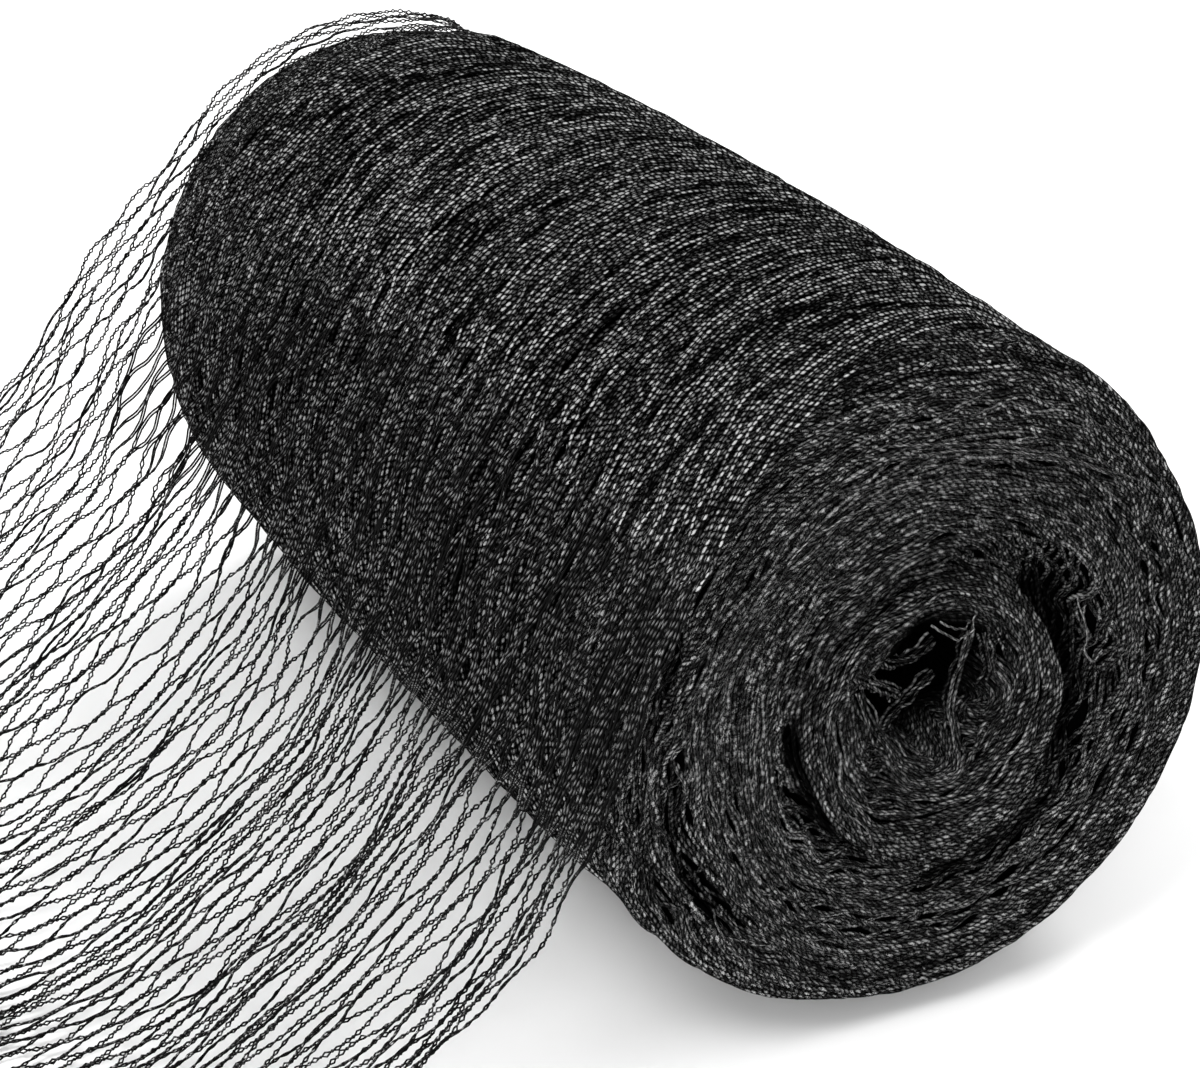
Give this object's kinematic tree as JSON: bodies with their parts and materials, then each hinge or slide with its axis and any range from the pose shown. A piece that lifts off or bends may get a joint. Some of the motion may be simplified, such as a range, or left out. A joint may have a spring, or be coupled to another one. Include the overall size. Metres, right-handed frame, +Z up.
{
  "type": "roll of pond netting",
  "caption": "Soft roll of black knitted netting with its outer layer hanging off one side and lying on the floor.",
  "frame": {"origin": "middle of the small flat spot under the roll, on the surface it rests on", "axes": "+X along the roll towards its near end, +Z up, the loose end hangs off towards -Y"},
  "size_m": [0.3368, 0.3221, 0.1687],
  "materials": {
    "netting": "black knitted polyethylene yarn, slightly glossy"
  },
  "bodies": {
    "root": {"net_roll": "netting", "net_loose_end": "netting"}
  },
  "joints": []
}
